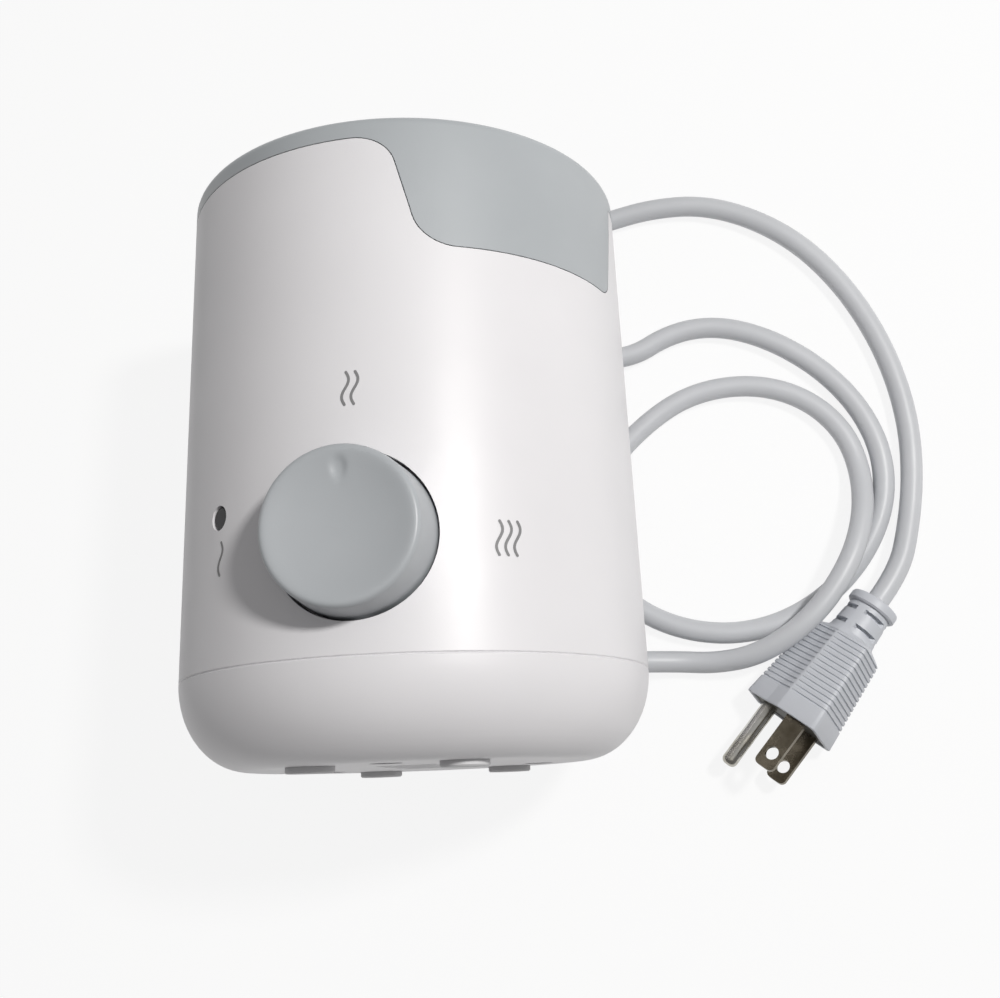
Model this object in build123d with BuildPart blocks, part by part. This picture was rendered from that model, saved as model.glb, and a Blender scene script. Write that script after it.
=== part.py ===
"""Baby bottle and food warmer, lying on its back with its mains lead beside it, in millimetres.

Every piece of the warmer is drawn standing up: Z runs up the axis of the well from the feet, and
the knob faces -Y. The whole warmer is then laid down on its back, so that its axis points along +Y,
the knob faces up and the taper of the housing lies flat on the floor at Z = 0.
The lead and its plug are drawn where they lie on that floor.
"""

from build123d import *
from math import atan, cos, degrees, pi, radians, sin, tan
import os

# Outer shape of the warmer
total_height = 157.7
seam_height = 24.0
seam_radius = 62.0
rim_inset = 1.8
bottom_radius = 43.8
foot_height = 1.5
ring_band = 5.7
shell_wall = 2.5
seam_bevel = 0.35

# Fits between neighbouring pieces
slip = 0.15
thread_slip = 0.05
turn_slip = 0.05

# Well, its flange and the metal floor
well_radius = 39.5
well_wall = 1.8
well_floor_height = 50.0
well_ledge = 5.0
flange_thickness = 2.0
flange_drop = 4.0
ledge_depth = 2.2
ledge_thickness = 3.0
seal_thickness = 1.5
seal_width = 4.0
plate_thickness = 2.0
plate_dish = 1.2
plate_flat_radius = 29.6

# Grey ring and front panel
ring_wall = 2.2
ring_edge_radius = 2.4
mouth_radius = 40.5
mouth_drop = 2.6
panel_thickness = 1.3
panel_gap = 0.25
panel_bearing = 43.5
panel_drop = 29.7
panel_left_bottom = -27.4
panel_left_top = -34.2
panel_left_end = -42.0
panel_right_bottom = 31.6
panel_right_top = 38.6
panel_crown_radius = 9.0
panel_sweep_radius = 10.0
panel_corner_radius = 4.4

# Control knob, its opening and its shaft
knob_height = 51.6
knob_face_y = 71.8
knob_back_y = 55.5
knob_face_radius = 18.45
knob_back_radius = 19.5
knob_wall = 2.0
knob_dish = 2.2
knob_dish_radius = 15.6
knob_rim_radius = 1.6
knob_gap = 0.4
dimple_radius = 6.0
dimple_depth = 0.5
dimple_reach = 13.6
opening_wall = 2.0
opening_floor_y = 54.0
opening_floor = 2.0
shaft_radius = 3.0
shaft_flat = 0.9
shaft_bury = 5.0
hub_radius = 5.2
hub_bore_depth = 9.0

# Rotary switch and control board
switch_side = 18.0
switch_corner = 1.6
bush_radius = 4.5
bush_length = 1.6
board_thickness = 1.6
board_front_y = 43.6
board_half_width = 26.0
board_low = 34.0
board_high = 69.0
board_corner = 1.6
board_post_x = 20.0
board_post_z = 13.5
board_post_radius = 2.8
board_screw_radius = 1.1
board_screw_head = 2.0
board_screw_head_height = 1.4
board_screw_length = 7.0
relay_x = -15.5
relay_width = 8.0
relay_height = 12.0
relay_depth = 5.0
capacitor_x = 14.5
capacitor_rise = 3.0
capacitor_radius = 3.0
capacitor_length = 6.0
resistor_x = 14.5
resistor_rise = -5.0
resistor_pitch = 3.2
resistor_count = 3
resistor_length = 6.0
resistor_width = 1.6
resistor_depth = 1.2

# Indicator light
lamp_bearing = -36.2
lamp_height = 60.6
lens_radius = 2.95
lens_sink = 0.5
lens_length = 4.6
led_radius = 2.5
led_length = 7.0
lamp_gap = 0.3
lead_radius = 0.35
lead_bend = 0.7
lead_stub = 1.25
lead_spread = 1.27
lead_entry_x = -24.0

# Heater under the plate
heater_tube_radius = 3.3
heater_ring_radius = 21.0
heater_opening = 50.0
heater_tail = 12.0
clamp_length = 66.0
clamp_width = 20.0
clamp_thickness = 1.5
clamp_screw_reach = 29.0
clamp_screw_radius = 1.6
clamp_screw_head = 3.2
clamp_screw_head_height = 2.0
clamp_screw_length = 6.4
clamp_boss_radius = 3.6
thermostat_radius = 6.5
thermostat_height = 10.0
thermostat_flange = 8.0
thermostat_flange_thickness = 1.2
tab_width = 4.8
tab_thickness = 0.8
tab_length = 6.0
sensor_spread = 8.0
sensor_turn = 22.0
fuse_radius = 2.0
fuse_length = 11.0
fuse_offset = 12.5

# Base, its screws and feet
spigot_height = 4.0
spigot_wall = 2.0
spigot_root = 10.0
post_radius = 4.2
post_reach = 34.0
post_bearings = (30.0, 150.0, 270.0)
post_bottom = 14.0
base_boss_radius = 5.4
base_screw_radius = 1.75
base_screw_head = 3.4
base_screw_head_height = 2.4
base_screw_well = 4.1
base_screw_seat = 8.0
base_screw_length = 20.0
foot_radius = 6.0
foot_reach = 38.0
foot_sink = 1.0
foot_bearings = (60.0, 120.0, 240.0, 300.0)
vent_length = 16.0
vent_width = 2.6
vent_pitch = 7.0
vent_count = 5

# Terminal block on the base
block_length = 26.0
block_width = 13.0
block_height = 12.0
block_x = -6.0
block_y = 27.0
block_bore_radius = 1.7
block_corner = 1.0
block_screw_radius = 1.9
block_screw_depth = 3.0
block_pitch = 8.0
block_pad = 2.0

# Mains lead: gland, clamp and jacket
cord_radius = 3.3
gland_bearing = 20.0
gland_height = 31.5
gland_from_side = 37.0
gland_from_back = 19.5
gland_collar_radius = 6.6
gland_collar = 2.0
gland_root_radius = 5.0
gland_tip_radius = 4.0
gland_length = 35.0
gland_sleeve = 23.0
gland_boss_radius = 7.0
tail_length = 15.0
saddle_length = 7.0
saddle_width = 26.0
saddle_gap = 0.2
clamp_bar_height = 5.0
cord_screw_spread = 8.6
cord_screw_radius = 1.5
cord_screw_head = 2.8
cord_screw_head_height = 1.8
cord_screw_length = 12.0
cord_screw_spare = 1.0
wire_radius = 0.95
wire_spread = 2.2
wire_bend = 2.8
wire_run = 5.7
wire_bury = 3.25
sensor_bend = 1.9
sensor_fall = 1.0

# Plug: a three pin plug lying on its tapered side
plug_x, plug_y, plug_z = 103.3, -70.62, 12.0
plug_heading = 229.2
plug_pitch = 3.2
plug_roll = 24.0
plug_back = 7.3
plug_half_height = 10.2
plug_shoulder = 6.0
plug_lobe_start = 10.5
plug_lobe_end = 18.6
plug_lobe_half = 5.6
plug_grip_length = 29.0
plug_grip_shrink = 0.80
plug_neck_centre = 4.5
plug_neck_end = 44.0
plug_neck_radius = 6.4
plug_corner = 1.6
plug_root_radius = 7.3
flange_ring_radius = 7.6
flange_ring_length = 3.2
flange_ring_edge = 1.0
slot_length = 1.5
slot_rows = (33.2, 38.4)
slot_depth = 1.6
slot_bridge = 3.0
blade_pitch = 12.7
blade_width = 6.35
blade_thickness = 1.5
blade_length = 16.5
blade_bury = 6.0
blade_hole_radius = 2.0
blade_hole_reach = 11.7
blade_tip_radius = 1.6
pin_offset = 11.9
pin_radius = 2.4
pin_length = 21.4
pin_tip_radius = 1.8
pin_bury = 6.0
bridge_share = 0.88
bridge_sink = 0.6
bridge_depth = 4.0

# The route of the lead on the floor, from the gland to the plug
lead_route = [
    (80.0, -49.6, 4.6),
    (92.5, -48.4, 9.4),
    (105.0, -42.0, 13.4),
    (115.4, -32.2, 13.6),
    (123.6, -19.8, 12.6),
    (128.4, -6.0, 8.6),
    (129.3, 8.0, 3.6),
    (125.8, 20.5, 3.4),
    (117.0, 31.0, 3.4),
    (104.6, 37.4, 3.4),
    (90.6, 39.0, 3.4),
    (76.6, 36.2, 3.4),
    (64.2, 28.6, 3.4),
    (52.8, 18.0, 3.4),
    (45.0, 4.4, 3.4),
    (43.8, -10.6, 3.4),
    (49.6, -24.0, 3.4),
    (60.6, -33.8, 3.4),
    (74.4, -39.6, 3.4),
    (89.6, -41.0, 3.4),
    (104.6, -37.4, 3.4),
    (118.4, -29.0, 3.4),
    (129.2, -16.8, 3.4),
    (135.8, -2.2, 3.4),
    (136.4, 13.4, 3.4),
    (131.0, 28.6, 3.4),
    (120.8, 42.0, 3.4),
    (107.8, 52.2, 3.4),
    (95.0, 58.2, 3.4),
    (83.5, 59.9, 3.4),
    (72.5, 57.8, 3.4),
    (61.9, 52.0, 3.4),
    (49.8, 51.9, 3.4),
    (39.2, 57.4, 3.4),
    (32.3, 67.3, 3.4),
    (31.0, 79.2, 3.4),
    (35.3, 90.3, 3.4),
    (44.5, 98.0, 3.4),
    (56.3, 100.9, 3.4),
    (71.4, 103.7, 3.4),
    (88.2, 103.0, 3.4),
    (104.4, 96.2, 3.4),
    (118.6, 85.2, 3.4),
    (129.8, 70.6, 3.4),
    (138.0, 54.2, 3.4),
    (143.2, 37.2, 3.4),
    (145.4, 20.4, 3.4),
    (144.6, 4.0, 3.4),
    (141.4, -11.4, 5.0),
]
plug_approach = 12.0
gland_approach = 11.0
bend_share = 0.45

os.makedirs("parts", exist_ok=True)

# Places that follow from the sizes above
rim_radius = seam_radius - rim_inset
ring_height = total_height - ring_band
flange_height = ring_height - flange_drop
panel_bottom = ring_height - panel_drop
taper = rim_inset / (total_height - seam_height)
lean = atan(taper)
back_height = seam_radius * cos(lean) + seam_height * sin(lean)
mouth_end = total_height * cos(lean) + (rim_radius - ring_edge_radius) * sin(lean)
feet_end = -(foot_reach * sin(radians(foot_bearings[0])) + foot_radius) * sin(lean)
body_middle = (mouth_end + feet_end) / 2
lying = Location((0, -body_middle, back_height), (-90 - degrees(lean), 0, 0))


def skin_radius(height):
    """Radius of the tapered outer skin at a height above the feet."""
    return seam_radius - taper * (height - seam_height)


def front_plane(depth, height=0.0):
    """Plane that faces -Y, a depth in front of the axis, with its y upwards."""
    return Plane(origin=(0, -depth, height), x_dir=(1, 0, 0), z_dir=(0, -1, 0))


def bearing_plane(bearing, height, reach):
    """Plane that faces outwards at a bearing from the front, towards +X, at a reach from the axis."""
    way = Vector(sin(radians(bearing)), -cos(radians(bearing)), 0)
    return Plane(
        origin=way * reach + Vector(0, 0, height),
        x_dir=(cos(radians(bearing)), sin(radians(bearing)), 0),
        z_dir=way,
    )


def polar(reach, bearing, height=0.0):
    """Point at a reach and an angle from +X round the axis."""
    return Vector(reach * cos(radians(bearing)), reach * sin(radians(bearing)), height)


def save(piece, name):
    """Lay a piece down with the warmer and write it."""
    laid = piece.part.moved(lying)
    laid.label = name
    export_step(laid, f"parts/{name}.step")


# Outer bowl of the base, as a full solid up to the seam, and the room above it
with BuildPart() as bowl_solid:
    with BuildSketch(Plane.XZ):
        with BuildLine():
            Polyline((0, seam_height), (0, foot_height), (bottom_radius, foot_height))
            EllipticalCenterArc(
                center=(bottom_radius, seam_height),
                x_radius=seam_radius - bottom_radius,
                y_radius=seam_height - foot_height,
                start_angle=270,
                arc_size=90,
            )
            Line((seam_radius, seam_height), (0, seam_height))
        make_face()
    revolve(axis=Axis.Z)

with BuildPart() as bowl_space:
    add(bowl_solid.part)
    with BuildSketch(Plane.XY.offset(seam_height)):
        Circle(seam_radius - shell_wall - spigot_wall - slip)
    extrude(amount=flange_height - seam_height)

with BuildPart() as bowl_cavity:
    with BuildSketch(Plane.XZ):
        with BuildLine():
            Polyline(
                (0, seam_height),
                (0, foot_height + shell_wall),
                (bottom_radius, foot_height + shell_wall),
            )
            EllipticalCenterArc(
                center=(bottom_radius, seam_height),
                x_radius=seam_radius - bottom_radius - shell_wall,
                y_radius=seam_height - foot_height - shell_wall,
                start_angle=270,
                arc_size=90,
            )
            Line((seam_radius - shell_wall, seam_height), (0, seam_height))
        make_face()
    revolve(axis=Axis.Z)

# Full cone inside the tapered skin, which trims what reaches the skin at a slant
with BuildPart() as cone_solid:
    with BuildSketch(Plane.XZ):
        with BuildLine():
            Polyline(
                (0, 0),
                (skin_radius(0), 0),
                (skin_radius(total_height), total_height),
                (0, total_height),
                close=True,
            )
        make_face()
    revolve(axis=Axis.Z)


def panel_outline(grow):
    """Outline of the grey front panel, grown by a gap all round, on a plane at its own bearing."""
    with BuildSketch(bearing_plane(panel_bearing, 0, 0)) as outline:
        with BuildLine():
            top = ring_height + ring_wall
            FilletPolyline(
                (panel_left_end, ring_height),
                (panel_left_top, ring_height),
                (panel_left_bottom, panel_bottom),
                (panel_right_bottom, panel_bottom),
                (panel_right_top, ring_height),
                radius=(panel_crown_radius, panel_sweep_radius, panel_corner_radius),
            )
            Polyline(
                (panel_right_top, ring_height),
                (panel_right_top, top),
                (panel_left_end, top),
                (panel_left_end, ring_height),
            )
        make_face()
        if grow:
            offset(amount=grow)
    return outline.sketch


def panel_band(depth, proud, grow, top):
    """Curved slab under the skin inside the panel's outline, from a depth to a proud height."""
    with BuildPart() as band:
        with BuildSketch(Plane.XZ):
            with BuildLine():
                Polyline(
                    (skin_radius(panel_bottom - ring_wall) - depth, panel_bottom - ring_wall),
                    (skin_radius(panel_bottom - ring_wall) + proud, panel_bottom - ring_wall),
                    (skin_radius(top) + proud, top),
                    (skin_radius(top) - depth, top),
                    close=True,
                )
            make_face()
        revolve(axis=Axis.Z)
        extrude(panel_outline(grow), amount=seam_radius + shell_wall, mode=Mode.INTERSECT)
    return band.part


# Axis of the mains lead where it passes the skin, low on the back
gland_way = Vector(cos(radians(gland_bearing)), sin(radians(gland_bearing)), 0)
gland_across = Vector(-sin(radians(gland_bearing)), cos(radians(gland_bearing)), 0)
gland_start = Vector(seam_radius - gland_from_side, seam_radius - gland_from_back, gland_height)


def gland_plane(along):
    """Plane across the lead's axis at a distance outwards from the boss's inner face."""
    return Plane(origin=gland_start + gland_way * along, x_dir=gland_across, z_dir=gland_way)


opening_radius = knob_back_radius + knob_gap
shell_top = ring_height - panel_gap
opening_back_y = opening_floor_y - opening_floor
board_back_y = board_front_y - board_thickness
flange_top = flange_height + flange_thickness
inner_top_radius = skin_radius(flange_height) - shell_wall

# White housing: tapered shell with the knob's cup, board posts, lead boss and the ring's ledge
with BuildPart() as gland_boss:
    with BuildSketch(gland_plane(0)):
        Circle(gland_boss_radius)
    extrude(amount=gland_length)
    add(cone_solid.part, mode=Mode.INTERSECT)

with BuildPart() as housing:
    with BuildSketch(Plane.XZ):
        with BuildLine():
            Polyline(
                (seam_radius, seam_height),
                (skin_radius(shell_top), shell_top),
                (skin_radius(shell_top) - shell_wall, shell_top),
                (skin_radius(flange_height) - shell_wall, flange_height),
                (skin_radius(flange_height) - shell_wall - ledge_depth, flange_height),
                (skin_radius(flange_height) - shell_wall, flange_height - ledge_thickness),
                (seam_radius - shell_wall, seam_height),
                close=True,
            )
        make_face()
    revolve(axis=Axis.Z)
    rim_edges = housing.edges().filter_by(GeomType.CIRCLE)
    chamfer(rim_edges.group_by(Axis.Z)[0].sort_by(SortBy.RADIUS)[-1], length=seam_bevel)
    with BuildSketch(front_plane(opening_back_y, knob_height)):
        Circle(opening_radius + opening_wall)
    extrude(until=Until.NEXT)
    with BuildSketch(front_plane(opening_floor_y, knob_height)):
        Circle(opening_radius)
    extrude(amount=seam_radius, mode=Mode.SUBTRACT)
    with BuildSketch(front_plane(opening_back_y, knob_height)):
        Circle(bush_radius + slip)
    extrude(amount=seam_radius, mode=Mode.SUBTRACT)
    with BuildSketch(front_plane(board_front_y, knob_height)):
        with GridLocations(2 * board_post_x, 2 * board_post_z, 2, 2):
            Circle(board_post_radius)
    extrude(until=Until.NEXT)
    with BuildSketch(front_plane(board_front_y, knob_height)):
        with GridLocations(2 * board_post_x, 2 * board_post_z, 2, 2):
            Circle(board_screw_radius + thread_slip)
    extrude(amount=board_screw_length, mode=Mode.SUBTRACT)
    with BuildSketch(bearing_plane(lamp_bearing, lamp_height, 0)):
        Circle(lens_radius + slip)
    extrude(amount=seam_radius + shell_wall, mode=Mode.SUBTRACT)
    add(gland_boss.part)
    with BuildSketch(gland_plane(0)):
        Circle(gland_root_radius + slip)
    extrude(amount=gland_length, mode=Mode.SUBTRACT)
    pocket = panel_band(panel_thickness + slip, shell_wall, panel_gap, ring_height + ring_wall)
    add(pocket, mode=Mode.SUBTRACT)
save(housing, "housing")

# White base: bowl with its spigot, screw bosses, foot pockets, vents and the lead's saddle
saddle_top = gland_height - cord_radius - saddle_gap
saddle_centre = gland_start - gland_way * (gland_collar + slip + saddle_length / 2)
with BuildPart() as saddle:
    with BuildSketch(Plane(saddle_centre - Vector(0, 0, gland_height - foot_height), x_dir=gland_way)):
        Rectangle(saddle_length, saddle_width)
    extrude(amount=saddle_top - foot_height)
    with BuildSketch(Plane(saddle_centre - Vector(0, 0, gland_height - saddle_top), x_dir=gland_way)):
        with GridLocations(0, 2 * cord_screw_spread, 1, 2):
            Circle(cord_screw_radius + thread_slip)
    extrude(amount=-cord_screw_length, mode=Mode.SUBTRACT)
    add(bowl_space.part, mode=Mode.INTERSECT)

spigot_radius = seam_radius - shell_wall - slip
with BuildPart() as base:
    add(bowl_solid.part)
    chamfer(base.edges().filter_by(GeomType.CIRCLE).group_by(Axis.Z)[-1], length=seam_bevel)
    add(bowl_cavity.part, mode=Mode.SUBTRACT)
    with BuildSketch(Plane.XY.offset(seam_height - spigot_root)):
        Circle(spigot_radius)
        Circle(spigot_radius - spigot_wall, mode=Mode.SUBTRACT)
    extrude(amount=spigot_height + spigot_root)
    with BuildSketch(Plane.XY.offset(foot_height)):
        with PolarLocations(post_reach, len(post_bearings), start_angle=post_bearings[0]):
            Circle(base_boss_radius)
    extrude(amount=post_bottom - foot_height)
    add(saddle.part)
    with BuildSketch(Plane.XY.offset(foot_height)):
        with PolarLocations(post_reach, len(post_bearings), start_angle=post_bearings[0]):
            Circle(base_screw_well)
    extrude(amount=base_screw_seat - foot_height, mode=Mode.SUBTRACT)
    with BuildSketch(Plane.XY.offset(foot_height)):
        with PolarLocations(post_reach, len(post_bearings), start_angle=post_bearings[0]):
            Circle(base_screw_radius + slip)
    extrude(amount=post_bottom, mode=Mode.SUBTRACT)
    with BuildSketch(Plane.XY.offset(foot_height)):
        for bearing in foot_bearings:
            with Locations(polar(foot_reach, bearing)):
                Circle(foot_radius + slip)
    extrude(amount=foot_sink, mode=Mode.SUBTRACT)
    with BuildSketch(Plane.XY.offset(foot_height)):
        with GridLocations(0, vent_pitch, 1, vent_count):
            SlotOverall(vent_length, vent_width)
    extrude(amount=shell_wall, mode=Mode.SUBTRACT)
    with BuildSketch(Plane.XY.offset(foot_height + shell_wall)):
        with Locations((block_x, block_y)):
            Rectangle(block_length, block_width)
    extrude(amount=block_pad)
    with BuildSketch(gland_plane(-gland_collar - slip)):
        Circle(gland_boss_radius + slip)
    extrude(amount=gland_length + gland_collar, mode=Mode.SUBTRACT)
save(base, "base")

# Rubber feet in their pockets
with BuildPart() as feet:
    with BuildSketch(Plane.XY):
        for bearing in foot_bearings:
            with Locations(polar(foot_reach, bearing)):
                Circle(foot_radius)
    extrude(amount=foot_height + foot_sink)
    chamfer(feet.edges().group_by(Axis.Z)[0], length=seam_bevel)
save(feet, "feet")

# Screws that hold the base to the posts of the well
with BuildPart() as base_screws:
    with BuildSketch(Plane.XY.offset(base_screw_seat - base_screw_head_height)):
        with PolarLocations(post_reach, len(post_bearings), start_angle=post_bearings[0]):
            Circle(base_screw_head)
    extrude(amount=base_screw_head_height)
    with BuildSketch(Plane.XY.offset(base_screw_seat)):
        with PolarLocations(post_reach, len(post_bearings), start_angle=post_bearings[0]):
            Circle(base_screw_radius)
    extrude(amount=base_screw_length)
    with BuildSketch(Plane.XY.offset(base_screw_seat - base_screw_head_height)):
        with PolarLocations(post_reach, len(post_bearings), start_angle=post_bearings[0]):
            SlotOverall(base_screw_radius * 2, base_screw_radius / 2)
            SlotOverall(base_screw_radius * 2, base_screw_radius / 2, rotation=90)
    extrude(amount=base_screw_head_height / 2, mode=Mode.SUBTRACT)
save(base_screws, "base_screws")

# Grey ring round the mouth with the front panel that runs down from it
ring_top_radius = skin_radius(total_height)
rib_outer = inner_top_radius - slip
with BuildPart() as rim_trim:
    with BuildSketch(Plane.XZ):
        with BuildLine():
            outer = Line((skin_radius(ring_height), ring_height),
                         (skin_radius(total_height - ring_edge_radius), total_height - ring_edge_radius))
            edge = TangentArc(
                outer @ 1, (ring_top_radius - ring_edge_radius, total_height), tangent=outer % 1
            )
            crown = Line(edge @ 1, (mouth_radius + ring_wall, total_height - mouth_drop))
            lip = TangentArc(
                crown @ 1, (mouth_radius, total_height - mouth_drop - ring_wall), tangent=crown % 1
            )
            Polyline(
                lip @ 1,
                (mouth_radius, flange_top),
                (mouth_radius + ring_wall, flange_top),
                (mouth_radius + ring_wall, total_height - mouth_drop - ring_wall),
                (rib_outer - ring_wall, total_height - mouth_drop),
                (rib_outer - ring_wall, flange_top),
                (rib_outer, flange_top),
                (rib_outer, ring_height),
                (skin_radius(ring_height), ring_height),
            )
        make_face()
    revolve(axis=Axis.Z)
    add(panel_band(panel_thickness, 0, 0, ring_height + slip))
save(rim_trim, "rim_trim")

# Well: tube with a flange that sits on the housing's ledge, a floor ledge and the screw posts
well_outer = well_radius + well_wall
plate_bottom = well_floor_height + flange_thickness + seal_thickness
with BuildPart() as well_liner:
    with BuildSketch(Plane.XZ):
        with BuildLine():
            Polyline(
                (well_radius - well_ledge, well_floor_height),
                (well_outer, well_floor_height),
                (well_outer, flange_height),
                (inner_top_radius - slip, flange_height),
                (inner_top_radius - slip, flange_top),
                (well_radius, flange_top),
                (well_radius, well_floor_height + flange_thickness),
                (well_radius - well_ledge, well_floor_height + flange_thickness),
                close=True,
            )
        make_face()
    revolve(axis=Axis.Z)
    fillet(
        well_liner.edges().filter_by(GeomType.CIRCLE).group_by(Axis.Z)[-1].sort_by(SortBy.RADIUS)[0],
        radius=flange_thickness / 2,
    )
    with BuildSketch(Plane.XY.offset(well_floor_height)):
        with PolarLocations(post_reach, len(post_bearings), start_angle=post_bearings[0]):
            Circle(post_radius)
    extrude(amount=post_bottom - well_floor_height)
    with BuildSketch(Plane.XY.offset(post_bottom)):
        with PolarLocations(post_reach, len(post_bearings), start_angle=post_bearings[0]):
            Circle(base_screw_radius + thread_slip)
    extrude(amount=base_screw_length, mode=Mode.SUBTRACT)
save(well_liner, "well_liner")

# Silicone seal between the floor ledge and the plate
with BuildPart() as well_seal:
    with BuildSketch(Plane.XY.offset(well_floor_height + flange_thickness)):
        Circle(well_radius - slip)
        Circle(well_radius - slip - seal_width, mode=Mode.SUBTRACT)
    extrude(amount=seal_thickness)
save(well_seal, "well_seal")

# Heating plate: a dished metal disc with the two studs that the clamp is screwed to
stud_length = 2 * heater_tube_radius
with BuildPart() as heating_plate:
    with BuildSketch(Plane.XZ):
        with BuildLine():
            floor_line = Polyline(
                (0, plate_bottom),
                (well_radius - slip, plate_bottom),
                (well_radius - slip, plate_bottom + plate_thickness + plate_dish),
                (well_radius - slip - plate_thickness, plate_bottom + plate_thickness + plate_dish),
            )
            dish = Spline(
                floor_line @ 1,
                (plate_flat_radius, plate_bottom + plate_thickness),
                tangents=((-1, -1), (-1, 0)),
            )
            Polyline(dish @ 1, (0, plate_bottom + plate_thickness), (0, plate_bottom))
        make_face()
    revolve(axis=Axis.Z)
    with BuildSketch(Plane.XY.offset(plate_bottom)):
        with GridLocations(2 * clamp_screw_reach, 0, 2, 1):
            Circle(clamp_boss_radius)
    extrude(amount=-stud_length)
    with BuildSketch(Plane.XY.offset(plate_bottom - stud_length)):
        with GridLocations(2 * clamp_screw_reach, 0, 2, 1):
            Circle(clamp_screw_radius + thread_slip)
    extrude(amount=stud_length, mode=Mode.SUBTRACT)
save(heating_plate, "heating_plate")

# Heater: a sheathed tube bent into an open ring, its two tails turned down
heater_level = plate_bottom - heater_tube_radius
heater_half = radians(heater_opening / 2)
with BuildPart() as heater_element:
    with BuildLine() as heater_path:
        ring = CenterArc(
            (0, 0, heater_level), heater_ring_radius, 90 + heater_opening / 2, 360 - heater_opening
        )
    for place, way in ((ring @ 0, ring % 0), (ring @ 1, ring % 1)):
        with BuildSketch(Plane(place, z_dir=way)):
            Circle(heater_tube_radius)
    sweep(sections=heater_element.pending_faces[0], path=heater_path.wires()[0])
    for place in (ring @ 0, ring @ 1):
        with BuildSketch(Plane(place, z_dir=(0, 0, -1))):
            Circle(heater_tube_radius)
        extrude(amount=heater_tail)
        with Locations(place):
            Sphere(heater_tube_radius)
save(heater_element, "heater_element")

# Steel strap that presses the heater to the plate, and its two screws
clamp_top = plate_bottom - stud_length
with BuildPart() as heater_clamp:
    with BuildSketch(Plane.XY.offset(clamp_top - clamp_thickness)):
        SlotOverall(clamp_length, clamp_width)
        Circle(thermostat_radius + slip, mode=Mode.SUBTRACT)
        with GridLocations(2 * clamp_screw_reach, 0, 2, 1):
            Circle(clamp_screw_radius + slip, mode=Mode.SUBTRACT)
    extrude(amount=clamp_thickness)
save(heater_clamp, "heater_clamp")

with BuildPart() as heater_clamp_screws:
    with BuildSketch(Plane.XY.offset(clamp_top - clamp_thickness)):
        with GridLocations(2 * clamp_screw_reach, 0, 2, 1):
            Circle(clamp_screw_head)
    extrude(amount=-clamp_screw_head_height)
    with BuildSketch(Plane.XY.offset(clamp_top - clamp_thickness)):
        with GridLocations(2 * clamp_screw_reach, 0, 2, 1):
            Circle(clamp_screw_radius)
    extrude(amount=clamp_screw_length)
save(heater_clamp_screws, "heater_clamp_screws")

# Disc thermostat through the strap, with its two tabs
with BuildPart() as thermostat:
    with BuildSketch(Plane.XY.offset(plate_bottom)):
        Circle(thermostat_radius)
    extrude(amount=-thermostat_height)
    with BuildSketch(Plane.XY.offset(plate_bottom)):
        Circle(thermostat_flange)
    extrude(amount=-thermostat_flange_thickness)
    with BuildSketch(Plane.XY.offset(plate_bottom - thermostat_height)):
        with GridLocations(2 * thermostat_radius - tab_width, 0, 2, 1):
            Rectangle(tab_thickness, tab_width)
    extrude(amount=-tab_length)
save(thermostat, "thermostat")

# Thermal fuse lying against the plate
with BuildPart() as thermal_fuse:
    fuse_end = Vector(-fuse_length / 2, -fuse_offset, plate_bottom - fuse_radius)
    with BuildSketch(Plane(origin=fuse_end, z_dir=(1, 0, 0))):
        Circle(fuse_radius)
    extrude(amount=fuse_length)
save(thermal_fuse, "thermal_fuse")

# Control knob: a hollow cap with a dished face, a finger dimple and a hub for the shaft
knob_depth = knob_face_y - knob_back_y
knob_axis = Axis((0, 0, knob_height), (0, -1, 0))
knob_plane = Plane(origin=(0, 0, knob_height), x_dir=(1, 0, 0), z_dir=(0, 0, 1))
shaft_end_y = knob_face_y - knob_dish - knob_wall
hub_back_y = shaft_end_y - hub_bore_depth
dish_centre = (knob_dish_radius**2 - knob_dish**2) / (2 * knob_dish)
dish_sphere = dish_centre + knob_dish
with BuildPart() as knob:
    with BuildSketch(knob_plane):
        with BuildLine():
            Polyline(
                (0, -knob_back_y - knob_wall),
                (knob_back_radius - knob_wall, -knob_back_y - knob_wall),
                (knob_back_radius - knob_wall, -knob_back_y),
                (knob_back_radius, -knob_back_y),
                (knob_face_radius, -knob_face_y),
                (0, -knob_face_y),
                close=True,
            )
        make_face()
    revolve(axis=knob_axis)
    face_edge = knob.faces().sort_by(Axis.Y)[0].edges()
    fillet(face_edge, radius=knob_rim_radius)
    with BuildSketch(knob_plane):
        with BuildLine():
            Polyline(
                (0, -knob_back_y),
                (knob_back_radius - knob_wall, -knob_back_y),
                (knob_face_radius - knob_wall, -shaft_end_y),
                (0, -shaft_end_y),
                close=True,
            )
        make_face()
    revolve(axis=knob_axis, mode=Mode.SUBTRACT)
    with BuildSketch(front_plane(hub_back_y, knob_height)):
        Circle(hub_radius)
    extrude(amount=shaft_end_y - hub_back_y)
    with BuildSketch(front_plane(hub_back_y, knob_height)):
        Circle(shaft_radius + turn_slip)
        with Locations((0, shaft_radius * 2 - shaft_flat)):
            Rectangle(shaft_radius * 2, shaft_radius * 2, mode=Mode.SUBTRACT)
    extrude(amount=hub_bore_depth - turn_slip, mode=Mode.SUBTRACT)
    with Locations((0, -knob_face_y - dish_centre, knob_height)):
        Sphere(dish_sphere, mode=Mode.SUBTRACT)
    dimple_floor_y = knob_face_y - knob_dish * (1 - (dimple_reach / knob_dish_radius) ** 2)
    dimple_sphere = (dimple_radius**2 + dimple_depth**2) / (2 * dimple_depth)
    with Locations((0, -dimple_floor_y - dimple_sphere + dimple_depth, knob_height + dimple_reach)):
        Sphere(dimple_sphere, mode=Mode.SUBTRACT)
save(knob, "knob")

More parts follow.
